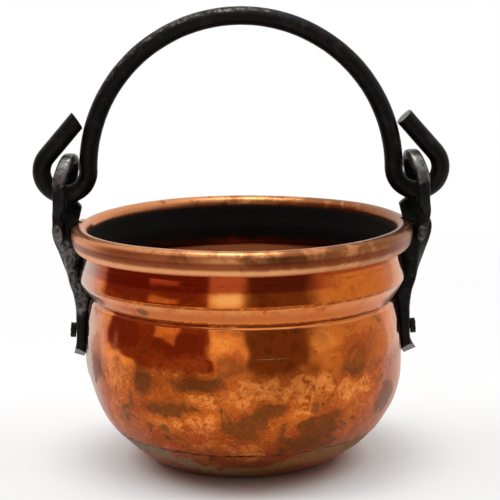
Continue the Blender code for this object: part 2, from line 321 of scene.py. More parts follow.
GROOVE_PAINTED_SHADE, SHOULDER_PAINTED_HIGHLIGHT = (0.11, 0.016, 0.006), (0.90, 0.42, 0.18)
BASE_COPPER, CRUST_GREY, CRUST_OCHRE = (0.50, 0.150, 0.028), (0.30, 0.275, 0.18), (0.30, 0.19, 0.04)
CRUST_PIT, CRACK_BLACK = (0.07, 0.042, 0.02), (0.016, 0.009, 0.006)
LEFT_PAINTED_SHEEN, RIGHT_PAINTED_SHEEN = (0.50, 0.43, 0.37), (0.56, 0.38, 0.26)


def unrolled(place, wander):
    """Millimetres round from the front and height, pushed about so that a patch's edge wanders."""
    x, y, height = (place.part(axis) for axis in "XYZ")
    around = x.math("ARCTAN2", x, y * -1.0) * BELLY_R
    flat = around.node("ShaderNodeCombineXYZ", {"X": around, "Y": height})
    push = place.noise(7.0, 8.0, 0.0, 0.6, output="Color")
    return flat.vector("ADD", push.vector("MULTIPLY_ADD", (wander,) * 3, (-wander / 2,) * 3))


def patches(flat, places, soft):
    """1 inside any of the places, fading out over a share of their size."""
    cover = None
    for turn, height, wide, tall in places:
        turn = (turn + 180.0) % 360.0 - 180.0
        off = flat.vector("SUBTRACT", (math.radians(turn) * BELLY_R, height, 0.0))
        far = off.vector("MULTIPLY", (1 / wide, 1 / tall, 0.0)).length()
        inside = far.rise(1.0 + soft, 1.0 - soft)
        cover = inside if cover is None else cover.most(inside)
    return cover


class CopperMarks:
    """Where things are on the bowl's outside: heights, three sizes of noise and a mask for each mark."""

    def __init__(self, place):
        self.place, self.across, self.height = place, place.part("X"), place.part("Z")
        self.level = self.height + self.across * (GROOVE_TILT / BELLY_R)
        self.flat, self.wandering = unrolled(place, 1.0), unrolled(place, 3.0)
        self.cloud = place.noise(11.0, 8.0, 0.7, 0.62)
        self.mottle = place.shift(9.0, 2.0, 5.0).noise(3.6, 7.0, 0.8, 0.68)
        self.speckle = place.shift(3.0, 8.0, 1.0).noise(0.9, 3.0, 0.0, 0.7)
        self.polish = self.height.rise(POLISH_LOW, POLISH_FULL)
        above_groove = self.level.rise(GROOVE_Z + 0.6, GROOVE_Z + 1.6)
        self.bead = above_groove * self.height.rise(BULGE_Z - 0.2, BULGE_Z - 1.2)
        self.below = place.node("ShaderNodeAttribute", output="Fac", attribute_name="below_crease")
        self.add_heat_marks()
        self.add_scouring()
        self.add_crust()

    def add_heat_marks(self):
        stain, bright, red = (patches(self.wandering, spots, PATCH_SOFT) for spots in (STAINS, GOLDS, RED_STAINS_AND_REFLECTIONS))
        field = self.cloud + self.mottle * 0.25 - 0.625 + (stain - bright) * PATCH_PULL
        belly = self.level.rise(GROOVE_Z - 0.4, GROOVE_Z - 1.4)
        self.gold = field.rise(-0.05, -0.15) * belly
        self.brown = field.rise(0.0, 0.16) * belly
        self.red = (0.5 - self.cloud + red * PATCH_PULL).rise(0.06, 0.18)

    def add_scouring(self):
        self.scoured = self.gold * (1.0 - self.polish)
        strokes = self.flat.stretch((0, 0, -48), (2.6, 0.5, 1.0)).noise(1.0, 3.0).rise(0.48, 0.64)
        cross = self.flat.stretch((0, 0, 57), (1.8, 0.5, 1.0)).noise(1.0, 3.0).rise(0.54, 0.66)
        self.strokes = self.scoured * strokes.most(cross * 0.7)

    def add_crust(self):
        lower_in_front = abs(self.flat.part("X") + 6.0).rise(44.0, 12.0) * 7.0
        band = self.below - lower_in_front + self.place.noise(5.0, 8.0, 0.4, 0.68) * 18.0
        self.crust = band.rise(8.6, 10.4) * band.rise(18.0, 14.0) * self.mottle.rise(0.34, 0.46)


def belly_colour(marks):
    mottle, speckle, dull = marks.mottle, marks.speckle, 1.0 - marks.polish * 0.4
    tone = (marks.cloud * 0.4 + mottle * 0.6).rise(0.40, 0.58).blend(DEEP_COPPER, WARM_COPPER)
    tone = tone.over(BRIGHT_COPPER, marks.polish * 0.55)
    tone = tone.over(GOLD, marks.gold * mottle.rise(0.34, 0.54) * 0.85)
    # Red clouds: partly heat stain, partly a painted dark reflection.
    tone = tone.over(HEAT_RED_AND_REFLECTION, marks.red * 0.6)
    tone = tone.over(HEAT_BROWN, marks.brown * (mottle * 1.6 + speckle * 0.6 - 0.25) * dull)
    tone = tone.over(SCOUR_PALE, marks.strokes * mottle.rise(0.40, 0.58) * 0.65)
    tone = tone.over(PIT_BROWN, speckle.rise(0.57, 0.70) * dull * 0.7)
    unstained = (1.0 - marks.polish * 0.5) * (1.0 - marks.brown)
    tone = tone.over(GLINT, speckle.rise(0.43, 0.30) * unstained * 0.6)
    return tone.over(SCRATCH_PALE, patches(marks.flat, SCRATCHES, 0.5) * mottle.rise(0.42, 0.50) * 0.8)


def bead_and_neck_colour(tone, marks):
    cloud, mottle, height = marks.cloud, marks.mottle, marks.height
    # Painted reflection: pale patches over the bead, paler toward the crest, stand in for the white table
    # it mirrors.
    bead_painted_reflection = height.rise(76.0, 80.5).blend(BEAD_REFLECTION_LOW, BEAD_REFLECTION_HIGH)
    tone = tone.over(bead_painted_reflection, marks.bead * (cloud * 2.0 + mottle * 1.8 - 1.35))
    # A painted dark reflection: a thin dark line along the bead's crest.
    tone = tone.over(BEAD_CREST_PAINTED_DARK, abs(height - (BULGE_Z - 0.6)).rise(0.9, 0.3) * mottle.rise(0.35, 0.5) * 0.7)
    tone = tone.over(SPOT_BROWN, patches(marks.wandering, SPOTS, 0.3) * 0.7)
    uneven = mottle * 1.6 - 0.8
    line, tilted_line = height + uneven, marks.level + uneven
    # Painted shade: dark red from the upper bead up to the curl except on the right, and all round just
    # under the curl.
    painted_neck_shade = line.rise(BULGE_Z + 4.8, BULGE_Z + 6.4) * marks.across.rise(44.0, 28.0)
    tone = tone.over(NECK_PAINTED_SHADE, (painted_neck_shade * 0.78).most(line.rise(NECK_Z - 0.6, NECK_Z + 0.4) * 0.7))
    # Painted highlights: two pale streaks above the bead's crest, one at the front and one at the back.
    tone = tone.over(BEAD_PAINTED_HIGHLIGHT, patches(marks.wandering, PAINTED_HIGHLIGHTS, 0.6) * 0.65)
    # Painted shade: a broken dark line round the neck, in the corner below the curl.
    tone = tone.over(NECK_PAINTED_DARK_LINE, abs(line - (NECK_Z - 2.0)).rise(0.6, 0.1) * cloud.rise(0.44, 0.60) * 0.45)
    # Painted shade: a dark line in the groove under the bead.
    tone = tone.over(GROOVE_PAINTED_SHADE, abs(tilted_line - (GROOVE_Z + 0.3)).rise(0.8, 0.35) * 0.85)
    # Painted highlight: a pale line along the shoulder, just below the groove.
    return tone.over(SHOULDER_PAINTED_HIGHLIGHT, abs(tilted_line - (SHOULDER_Z + 0.7)).rise(0.5, 0.2) * 0.35)


def base_colour(tone, marks):
    tone = tone.over(BASE_COPPER, marks.below.rise(2.0, 11.0) * 0.8)
    scale = marks.across.rise(-22.0, 8.0).blend(CRUST_GREY, CRUST_OCHRE)
    scale = scale.over(CRUST_PIT, marks.speckle.rise(0.44, 0.60) * 0.8)
    tone = tone.over(scale, marks.crust * 0.75)
    broken = marks.place.noise(9.0, 3.0).rise(0.44, 0.50)
    return tone.over(CRACK_BLACK, abs(marks.below + marks.mottle * 4.0 - 2.0).rise(0.55, 0.2) * broken)


def copper_outside():
    look, shader, place = new_finish("copper_outside")
    marks = CopperMarks(place)
    tone = base_colour(bead_and_neck_colour(belly_colour(marks), marks), marks)
    # Painted sheen: the outermost left and right of the belly are paled grey and rose, standing in for the
    # white room mirrored at grazing angles.
    tone = tone.over(LEFT_PAINTED_SHEEN, marks.across.rise(-57.0, -68.0) * (1.0 - marks.brown) * 0.65)
    tone = tone.over(RIGHT_PAINTED_SHEEN, marks.across.rise(57.0, 69.0) * (1.0 - marks.brown) * 0.45)
    rough = 0.30 - marks.polish * 0.23 + marks.brown * 0.04 + marks.scoured * 0.04
    rough = rough + marks.crust * 0.30 + marks.mottle * 0.05 + marks.bead * 0.14
    grain = (marks.strokes * 0.6 + place.noise(1.8, 5.0, 0.0, 0.65) * (1.0 - marks.polish * 0.8)
             + marks.crust * place.noise(0.9, 4.0) * 2.5)
    put(shader, Base_Color=tone, Roughness=rough, Metallic=1.0 - marks.crust * 0.6,
        Normal=bumped(grain, 0.035))
    return look


# The curl shows the sheet's inner face, which was never polished: brown, with small bright rubs on top. Its
# paleness to the left, a dark band round its middle and a pale lip along its lower edge are painted light.
# Inside, the neck is black with old soot down to the bead, and dull copper shows again below it.
RIM_TAN, RIM_BROWN, RIM_RUB = (0.64, 0.25, 0.095), (0.29, 0.098, 0.032), (0.75, 0.42, 0.22)
RIM_PIT, RIM_PAINTED_DARK_BAND, LIP_PAINTED_REFLECTION = (0.10, 0.045, 0.022), (0.21, 0.042, 0.013), (0.84, 0.40, 0.17)
INNER_COPPER, SOOT = (0.20, 0.055, 0.018), (0.016, 0.0155, 0.015)
BELT_Z, LIP_Z, SOOT_Z, MOUTH_R = RIM_Z - 2.4, 97.5, 88.0, 70.1


def copper_inside(name):
    look, shader, place = new_finish(name)
    across, height = place.part("X"), place.part("Z")
    radius = place.vector("MULTIPLY", (1.0, 1.0, 0.0)).length()
    cloud = place.noise(7.0, 5.0, 0.5)
    # Painted light: the curl is made paler to the left and darker to the right, over its random brown.
    tone = (cloud + across * 0.003).rise(0.42, 0.64).blend(RIM_TAN, RIM_BROWN)
    tone = tone.over(RIM_RUB, place.noise(2.2, 5.0).rise(0.64, 0.74) * 0.7)
    tone = tone.over(RIM_PIT, place.shift(4.0, 4.0, 4.0).noise(1.6, 4.0).rise(0.62, 0.72) * 0.6)
    lip = height.rise(LIP_Z + 0.7, LIP_Z - 0.7)
    # Painted dark reflection: a dark band round the middle of the curl.
    tone = tone.over(RIM_PAINTED_DARK_BAND, abs(height - BELT_Z).rise(2.3, 0.8) * 0.85)
    # Painted reflection of the floor: a pale lip along the curl's lower edge, stronger to the left.
    tone = tone.over(LIP_PAINTED_REFLECTION, lip * (across.rise(55.0, 10.0) * 0.5 + 0.35))
    mouth = radius.rise(MOUTH_R + 0.4, MOUTH_R - 0.4) * height.rise(RIM_Z, RIM_Z - 1.2)
    inside = mouth.most(height.rise(NECK_Z + 0.5, NECK_Z - 0.5))
    tone = tone.over(INNER_COPPER, inside)
    black = inside * (height + place.noise(12.0, 4.0) * 6.0).rise(SOOT_Z - 2.0, SOOT_Z + 2.0)
    tone = tone.over(SOOT, black)
    rough = 0.28 + cloud * 0.10 + lip * 0.1 - inside * 0.16 + black * 0.4
    put(shader, Base_Color=tone, Roughness=rough, Metallic=1.0 - black * 0.5,
        Normal=bumped(place.noise(1.6, 5.0), 0.04))
    return look


bowl.data.materials.append(copper_outside())
bowl.data.materials.append(copper_inside("copper_inside"))
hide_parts("bowl")
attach(bowl, "pot")

# The wire in the rim is closed in by the curl, so it keeps its plain solid.
# It is the same black iron as the ears: forged, quenched in oil and handled, brown in the hollows, with
# bare metal where it rubs. The same bare grey also paints sheen on the ears and the bail, more on their
# left.
IRON_BLACK, IRON_BROWN, IRON_BARE_AND_SHEEN = (0.013, 0.0125, 0.012), (0.040, 0.029, 0.021), (0.22, 0.21, 0.195)
IRON_METALLIC = 0.9


def black_iron(name):
    look, shader, place = new_finish(name)
    scale = place.noise(5.0, 5.0, 0.4)
    tone = (scale.rise(0.52, 0.72) * 0.8).blend(IRON_BLACK, IRON_BROWN)
    rubbed_and_sheen = place.node("ShaderNodeAttribute", output="Fac", attribute_name="rubbed_and_sheen")
    bare_and_sheen = (rubbed_and_sheen + place.noise(2.0, 6.0, 0.0, 0.65) * 1.4 - 0.7).rise(0.3, 0.9)
    # Bare grey where the piece's attribute asks: real wear and painted sheen.
    tone = tone.over(IRON_BARE_AND_SHEEN, bare_and_sheen)
    rough = 0.40 + scale * 0.2 - bare_and_sheen * 0.12
    lumps = place.noise(3.0, 4.0) + place.noise(0.9, 3.0) * 0.4
    put(shader, Base_Color=tone, Roughness=rough, Normal=bumped(lumps, 0.14))
    shader.inputs["Metallic"].default_value = IRON_METALLIC
    return look


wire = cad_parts["rim_wire"]
wire.data.materials.clear()
wire.data.materials.append(black_iron("wire_iron"))

# Each ear is one strap of iron: drawn out, riveted flat at the foot, twisted on edge past the rim and
# folded over into an eye, with the thinned tip lapped on the neck. The two were forged by eye and differ,
# so some sizes are given for the left hand (-1) and the right (1).
EYE_X, SEAT_Z, PIN_Z, EYE_RISE, EYE_LEAN = 76.8, 114.2, 118.4, 6.4, 2.2
STRAP_T, FOOT_T, FOOT_W, SHANK_W, ROOT_W, STRAND_W, TIP_W = 4.6, 4.1, 11.0, 8.0, 10.0, 6.0, 4.8
EYE_HALF, EYE_TWIST, RIVET_Z, FOOT_DROP = 9.4, math.radians(11.0), 57.4, 11.0
FOOT_GAP, BULGE_GAP, RIM_GAP, BED_GAP, SHANK_DIP = 0.2, 0.5, 0.7, 0.06, 0.9
FOOT_FLARE = {-1: 1.8, 1: 4.4}
TIP_SHIFT = {-1: (-0.8, -1.4), 1: (-2.6, -2.4)}
ROOT_SPREAD = {-1: 0.0, 1: 1.0}
ROOT_X, ROOT_Z, ROOT_SLOPE = 71.6, 106.0, 0.22
BED_LOW, BED_FULL, BED_TOP = 46.0, 48.0, RIM_Z + ROLL_R + 0.2
# Shares of bare grey on the strap, partly real wear and partly painted sheen; the left ear gets more at the
# tip and along the shank.
CROWN_RUB_AND_SHEEN, TIP_RUB_AND_SHEEN, SHANK_SHEEN = 0.72, {-1: 0.62, 1: 0.45}, {-1: 0.6, 1: 0.25}
TIP_LENGTH, SHANK_SHEEN_HEIGHTS, SHANK_EDGE = 5.2, (60.0, 68.0, 98.0, 104.0), Vector((0.6, -0.8, 0.0))
BROAD_KNOCK, BROAD_KNOCK_SIZE, FINE_KNOCK, FINE_KNOCK_SIZE, KNOCK_ALL = 0.16, 6.0, 0.08, 2.4, 0.06
FOOT_CUT_OUT, FOOT_CUT_UP, FOOT_CUT_SKEW, STRAP_SHARE = 3.0, 0.9, (0.5, -0.7), 0.985
RIM_SIDE = RIM_R + RIM_GAP + SHANK_W / 2
ON_COPPER = wall_radius(RIVET_Z) + FOOT_GAP + FOOT_T / 2
WALL_LEAN = (wall_radius(RIVET_Z + 1.0) - wall_radius(RIVET_Z - 1.0)) / 2.0
EYE_CENTRE = Vector((EYE_X, 0.0, PIN_Z + EYE_RISE))
ROW_STEPS, EYE_ROW, TIP_STATIONS, STRAP_SIDES, STRAP_SQUARE = 10, 12, 32, 28, 0.55


def ear_route(hand):
    """Rows from foot to tip: out, front, height, twist in degrees, width and thickness."""
    def foot(share, lift, width, thick):
        rise = share * FOOT_DROP
        return np.array((ON_COPPER + WALL_LEAN * rise + lift, 0.0, RIVET_Z + rise, 90.0, width, thick))

    flare, (tip_out, tip_up) = FOOT_FLARE[hand], TIP_SHIFT[hand]
    rows = [foot(-1.0, 0.36 * flare, 0.86 * FOOT_W, FOOT_T + 0.45 * flare),
            foot(-0.7, 0.12 * flare, FOOT_W, FOOT_T + 0.15 * flare),
            foot(-0.4, 0.0, FOOT_W, FOOT_T),
            foot(0.0, 0.0, FOOT_W, FOOT_T),
            foot(0.4, 0.3, FOOT_W, FOOT_T)]
    bulge = np.array((BULGE_R + BULGE_GAP + STRAP_T / 2, 0.0, BULGE_Z - 1.0, 86.0, SHANK_W, STRAP_T))
    dip = np.array((SHANK_DIP, 0.0, 0.0, 0.0, 0.0, 0.0))
    rows += [rows[-1] + (bulge - rows[-1]) * share - dip for share in (1 / 3, 2 / 3)] + [bulge]
    rim = np.array((RIM_SIDE, 0.0, RIM_Z, 24.0, SHANK_W, STRAP_T))
    rows += [(bulge + rim) / 2, rim]
    over, front = EYE_HALF * math.sin(EYE_TWIST), EYE_HALF * math.cos(EYE_TWIST)
    twist = math.degrees(EYE_TWIST)
    rows += [np.array(row) for row in (
        (EYE_X + 0.05 * over, -0.13 * front, RIM_Z + 0.45 * (SEAT_Z - RIM_Z), 17.0, SHANK_W, STRAP_T),
        (EYE_X - 0.75 * over, -0.39 * front, SEAT_Z - 0.75 * STRAP_T, 13.0, ROOT_W, STRAP_T),
        (EYE_X - 0.8 * over, -0.8 * front, SEAT_Z + STRAP_T / 4, twist, STRAND_W, STRAP_T))]
    rows += [np.array((EYE_X + over * math.cos(a) - EYE_LEAN * math.sin(a), front * math.cos(a),
                       PIN_Z + EYE_RISE + EYE_HALF * math.sin(a), twist, STRAND_W, STRAP_T))
             for a in (math.pi - i * math.pi / 6 for i in range(7))]
    tip_x, tip_z = RIM_SIDE + tip_out, RIM_Z + tip_up
    rows += [np.array(row) for row in (
        (EYE_X + 1.15 * over, 0.86 * front, SEAT_Z + 0.3 * STRAP_T, twist, STRAND_W, STRAP_T),
        (EYE_X + 1.9 * over, 0.56 * front, SEAT_Z - 0.87 * STRAP_T, 16.0, 0.72 * STRAND_W, 0.9 * STRAP_T),
        (tip_x - 0.4 * tip_out + 1.1, STRAP_T + 0.3, tip_z - 0.3 * tip_up + 4.0, 22.0, TIP_W,
         0.75 * STRAP_T),
        (tip_x + 1.2, STRAP_T - 0.2, tip_z - 0.5, 24.0, TIP_W, 0.6 * STRAP_T),
        (tip_x + 1.1, STRAP_T - 0.7, tip_z - 3.2, 26.0, 0.5 * TIP_W, 0.4 * STRAP_T))]
    return rows


def spline(rows, steps):
    """Catmull-Rom points through the rows."""
    rows = [2 * rows[0] - rows[1]] + rows + [2 * rows[-1] - rows[-2]]
    points = []
    for a, b, c, d in zip(rows, rows[1:], rows[2:], rows[3:]):
        for t in (i / steps for i in range(steps)):
            points.append(0.5 * (2 * b + (c - a) * t + (2 * a - 5 * b + 4 * c - d) * t ** 2
                                 + (3 * b - a - 3 * c + d) * t ** 3))
    return points + [rows[-2]]


def copper_reach(z):
    """How far out the copper comes at height z, the curl included."""
    rise = (z - RIM_Z) / (ROLL_R if z > RIM_Z else ROLL_DROP)
    if abs(rise) >= 1.0:
        return wall_radius(z)
    return max(wall_radius(z), RIM_R - ROLL_R + ROLL_R * math.sqrt(1.0 - rise ** 2))


def beaten_in(p, arm, hand):
    """How far the inner side moves in: onto the copper up to the rim, and to a straight root above it."""
    inner = ease((-arm.x - 0.4) / 1.2)
    if p.z < BED_TOP:
        onto = max(p.x - copper_reach(p.z) - BED_GAP, 0.0)
        return inner * onto * ease((p.z - BED_LOW) / (BED_FULL - BED_LOW))
    root = ROOT_X - ROOT_SLOPE * (p.z - ROOT_Z) - ROOT_SPREAD[hand]
    return inner * max(p.x - root, 0.0) * ease((SEAT_Z + 0.2 - p.z) / 3.0)


def bare_and_sheen_share(p, arm, wide, on_tip, hand):
    """How bare the strap is, as worn metal and painted sheen: over the eye's crown, on the lapped tip's
    face and along the shank's front edge, the tip and the shank more on the left ear.
    """
    crown = ease(((p - EYE_CENTRE).length - EYE_HALF) / 2.0) * ease((p.z - PIN_Z) / 8.0)
    across, down = arm.dot(wide) / (0.6 * TIP_W), (p.z - RIM_Z - 0.6 - TIP_SHIFT[hand][1]) / TIP_LENGTH
    tip = ease((1.1 - math.hypot(across, down)) / 0.3) if on_tip else 0.0
    edge = ease((arm.normalized().dot(SHANK_EDGE) - 0.35) / 0.4)
    shank = edge * within(p.z, *SHANK_SHEEN_HEIGHTS)
    return max(CROWN_RUB_AND_SHEEN * crown, TIP_RUB_AND_SHEEN[hand] * tip, SHANK_SHEEN[hand] * shank)


def chisel(bm, end, point, normal):
    """Cuts one end of a bar off at a plane, and leaves the cut as a flat face of the second material."""
    near = set(end)
    edges = [e for e in bm.edges if near.issuperset(e.verts)]
    faces = [f for f in bm.faces if near.issuperset(f.verts)]
    made = bmesh.ops.bisect_plane(bm, geom=end + edges + faces, plane_co=point, plane_no=normal,
                                  clear_outer=True)
    rim = [g for g in made["geom_cut"] if isinstance(g, bmesh.types.BMEdge)]
    for face in bmesh.ops.contextual_create(bm, geom=rim)["faces"]:
        face.material_index = 1
        face.smooth = False


def forged_ear(name, hand):
    """Sweeps the strap's rounded section along the route, a little hammered, and cuts its foot askew."""
    stations = spline(ear_route(hand), ROW_STEPS)
    spots = [Vector((p[0], -p[1], p[2])) for p in stations]
    bm = bmesh.new()
    rubbed_and_sheen = bm.verts.layers.float.new("rubbed_and_sheen")
    rings = []
    for i, (spot, station) in enumerate(zip(spots, stations)):
        twist, width, thickness = math.radians(station[3]), station[4], station[5]
        ahead = (spots[min(i + 1, len(spots) - 1)] - spots[max(i - 1, 0)]).normalized()
        thick = ahead.cross(Vector((math.cos(twist), math.sin(twist), 0.0))).normalized()
        wide = thick.cross(ahead)
        rings.append([])
        for a in (math.tau * (k + 0.5) / STRAP_SIDES for k in range(STRAP_SIDES)):
            u, v = math.cos(a), math.sin(a)
            arm = (math.copysign(abs(u) ** STRAP_SQUARE, u) * wide * width
                   + math.copysign(abs(v) ** STRAP_SQUARE, v) * thick * thickness) / 2
            p = spot + STRAP_SHARE * arm
            knock = KNOCK_ALL + BROAD_KNOCK * noise.noise(p / BROAD_KNOCK_SIZE + Vector((hand, 4, 2)))
            knock += FINE_KNOCK * noise.noise(p / FINE_KNOCK_SIZE)
            p -= arm.normalized() * max(knock, 0.0)
            if i < EYE_ROW * ROW_STEPS:
                p.x -= beaten_in(p, arm, hand)
            on_tip = i > len(spots) - TIP_STATIONS and v * thick.y < 0
            vert = bm.verts.new((hand * p.x, p.y, p.z))
            vert[rubbed_and_sheen] = bare_and_sheen_share(p, arm, wide, on_tip, hand)
            rings[-1].append(vert)
    for low, high in zip(rings, rings[1:]):
        for k in range(STRAP_SIDES):
            after = (k + 1) % STRAP_SIDES
            bm.faces.new((low[k], low[after], high[after], high[k])).smooth = True
    bm.faces.new(rings[0][::-1])
    bm.faces.new(rings[-1])
    bmesh.ops.recalc_face_normals(bm, faces=bm.faces)
    cut = Vector((hand * (ON_COPPER + FOOT_CUT_OUT), 0.0, RIVET_Z - FOOT_DROP + FOOT_CUT_UP))
    out, front = FOOT_CUT_SKEW
    chisel(bm, bm.verts[:], cut, Vector((out * hand, front, -1.0)))
    bmesh.ops.scale(bm, vec=(MM, MM, MM), verts=bm.verts)
    mesh = bpy.data.meshes.new(name)
    bm.to_mesh(mesh)
    bm.free()
    return add_piece(name, mesh)


CUT_GREY, CUT_DARK = (0.26, 0.25, 0.235), (0.06, 0.05, 0.042)


def cut_iron(name):
    """The grey face that a chisel leaves."""
    look, shader, place = new_finish(name)
    torn = place.stretch((0, 0, 30), (1.0, 0.2, 1.0)).noise(0.6, 4.0)
    tone = torn.rise(0.45, 0.65).blend(CUT_GREY, CUT_DARK)
    put(shader, Base_Color=tone, Roughness=0.4 + torn * 0.2, Normal=bumped(torn, 0.08))
    shader.inputs["Metallic"].default_value = IRON_METALLIC
    return look


EAR_IRON, CUT_IRON = black_iron("ear_iron"), cut_iron("cut_iron")
HANDS = (("left", -1), ("right", 1))
for word, hand in HANDS:
    ear = forged_ear("ear_" + word + "_iron", hand)
    ear.data.materials.append(EAR_IRON)
    ear.data.materials.append(CUT_IRON)
    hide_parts("ear_" + word)
    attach(ear, "pot")

# One rivet holds each ear: a stub of round bar with its head hammered flat on the strap, and inside the
# bowl its other end peened over a copper rove. The EDGE values are how sharp each one's edge stays.
HEAD_R, HEAD_H, HEAD_EDGE = 3.4, 2.4, 0.75
PEEN_R, PEEN_H, PEEN_EDGE = 3.1, 1.4, 0.3
ROVE_R, ROVE_T, ROVE_EDGE = 4.2, 1.0, 0.8
HEAD_GAP, ROVE_GAP, PEEN_GAP = 0.2, 0.4, 0.1
STUD_KNOCK, STUD_KNOCK_SIZE = 0.6, 1.0 / 0.7
HEAD_LIFT = FOOT_GAP + FOOT_T + HEAD_GAP + HEAD_H / 2
ROVE_LIFT = -WALL - ROVE_GAP - ROVE_T / 2
PEEN_LIFT = -WALL - ROVE_GAP - ROVE_T - PEEN_GAP - PEEN_H / 2


def new_shape_tree(name, inputs):
    """A Geometry Nodes tree that takes and gives geometry, and its inputs by name."""
    tree = bpy.data.node_groups.new(name, "GeometryNodeTree")
    for socket, kind in (("Geometry", "Geometry"), *inputs):
        tree.interface.new_socket(socket, in_out="INPUT", socket_type="NodeSocket" + kind)
    tree.interface.new_socket("Geometry", in_out="OUTPUT", socket_type="NodeSocketGeometry")
    return tree, {s.name: Value(tree, s) for s in tree.nodes.new("NodeGroupInput").outputs if s.name}


def finish_shape(tree, made, finish):
    made = made.node("GeometryNodeRealizeInstances", {"Geometry": made})
    made = made.node("GeometryNodeSetShadeSmooth", {"Geometry": made})
    made = made.node("GeometryNodeSetMaterial", {"Geometry": made, "Material": finish})
    tree.links.new(made.socket, tree.nodes.new("NodeGroupOutput").inputs[0])


def stud_tree():
    """Geometry Nodes: a hammered disc set on each point of the base mesh, facing out of the wall."""
    tree, size = new_shape_tree("hammered_stud", (
        ("Radius", "Float"), ("Height", "Float"), ("Standoff", "Float"), ("Edge", "Float"),
        ("Hammering", "Float"), ("Finish", "Material")))
    seats = size["Geometry"]
    disc = seats.node("GeometryNodeMeshCylinder", {"Vertices": 20, "Side Segments": 2, "Fill Segments": 3,
                                                   "Radius": size["Radius"], "Depth": size["Height"]})
    disc = disc.node("GeometryNodeSubdivisionSurface",
                     {"Mesh": disc, "Level": 2, "Edge Crease": size["Edge"]})
    place = disc.node("GeometryNodeInputPosition")
    knock = place.noise(STUD_KNOCK_SIZE * MM, 2.0, rough=0.5)
    push = place.node("GeometryNodeInputNormal").scaled((knock - 0.7) * size["Hammering"])
    disc = disc.node("GeometryNodeSetPosition", {"Geometry": disc, "Offset": push})
    lift = size["Standoff"].node("ShaderNodeCombineXYZ", {"Z": size["Standoff"]})
    disc = disc.node("GeometryNodeTransform", {"Geometry": disc, "Translation": lift})
    out = seats.node("GeometryNodeInputNamedAttribute", {"Name": "outward"}, data_type="FLOAT_VECTOR")
    turn = out.node("FunctionNodeAlignRotationToVector", {"Vector": out}, axis="Z")
    made = seats.node("GeometryNodeInstanceOnPoints", {"Points": seats, "Instance": disc, "Rotation": turn})
    finish_shape(tree, made, size["Finish"])
    return tree


def grown(name, base, tree, **sizes):
    """Runs a tree on a base mesh and keeps what it makes as a plain mesh."""
    piece = add_piece(name, base)
    made = piece.modifiers.new("made", "NODES")
    made.node_group = tree
    for socket in tree.interface.items_tree:
        if socket.in_out == "INPUT" and socket.name in sizes:
            made[socket.identifier] = sizes[socket.name]
    mesh = bpy.data.meshes.new_from_object(piece.evaluated_get(bpy.context.evaluated_depsgraph_get()))
    piece.modifiers.remove(made)
    piece.data = mesh
    return piece


def rivet_seat(name, hand):
    """One point on the copper at a rivet, with the wall's normal."""
    mesh = bpy.data.meshes.new(name)
    mesh.from_pydata([(hand * wall_radius(RIVET_Z) * MM, 0.0, RIVET_Z * MM)], [], [])
    out = Vector((hand, 0.0, -WALL_LEAN)).normalized()
    mesh.attributes.new("outward", "FLOAT_VECTOR", "POINT").data.foreach_set("vector", out)
    return mesh


STUD = stud_tree()
RIVET_IRON, ROVE_COPPER = black_iron("rivet_iron"), copper_inside("rove_copper")
for word, hand in HANDS:
    for name, node, slot, finish, radius, tall, lift, edge in (
            ("rivet_head_", "rivet_", "iron", RIVET_IRON, HEAD_R, HEAD_H, HEAD_LIFT, HEAD_EDGE),
            ("rivet_peen_", "rivet_", "iron", RIVET_IRON, PEEN_R, PEEN_H, PEEN_LIFT, PEEN_EDGE),
            ("rove_disc_", "rove_", "copper", ROVE_COPPER, ROVE_R, ROVE_T, ROVE_LIFT, ROVE_EDGE)):
        stud = grown(name + word, rivet_seat(name + word, hand), STUD, Radius=radius * MM, Height=tall * MM,
                     Standoff=lift * MM, Edge=edge, Hammering=STUD_KNOCK * MM, Finish=finish)
        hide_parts(node + word)
        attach(stud, "pot")

# The bail is one length of round iron bar, bent hot to a half circle, with an open hook at each end that
# hangs in an eye. The smith cut both ends on a chisel, so they are a little askew.
BAR_R, BAR_SPACING, BAR_RUB_AND_SHEEN = 4.2, 0.9, 0.44
BAR_KNOCK, BAR_BROAD_SIZE, BAR_SMALL_SIZE = 0.22, 1.0 / 0.09, 1.0 / 0.33
HOOK_R, HOOK_PAST, HOOK_STEPS, ARCH_STEPS = 10.2, math.radians(41.0), 40, 48
BAIL_R = EYE_X - HOOK_R
TAIL_GAP, TAIL_MORE, TAIL_WASTE, TAIL_SHARE = 0.4, 1.4, 3.1, 0.04
CUT_SKEW = {-1: (0.27, 0.25), 1: (0.05, -0.10)}


def bail_half():
    """Centre line of the right half from the tail's end to the top, in X and Z."""
    end = Vector((EYE_X, HOOK_R)) + HOOK_R * Vector((math.cos(HOOK_PAST), math.sin(HOOK_PAST)))
    along = Vector((-math.sin(HOOK_PAST), math.cos(HOOK_PAST)))
    corner = end - BAR_R * Vector((along.y, -along.x)) - Vector((0.0, HOOK_R))
    lean = corner.dot(along)
    tail = -lean - math.sqrt(lean ** 2 - corner.length_squared + (BAIL_R + BAR_R + TAIL_GAP) ** 2)
    tail += TAIL_MORE
    bend = [HOOK_PAST - (math.pi + HOOK_PAST) * i / HOOK_STEPS for i in range(HOOK_STEPS + 1)]
    arc = [math.pi / 2 * i / ARCH_STEPS for i in range(1, ARCH_STEPS + 1)]
    return ([end + along * (tail + TAIL_WASTE), end + along * tail]
            + [Vector((EYE_X + HOOK_R * math.cos(a), HOOK_R + HOOK_R * math.sin(a))) for a in bend]
            + [Vector((BAIL_R * math.cos(a), HOOK_R + BAIL_R * math.sin(a))) for a in arc])


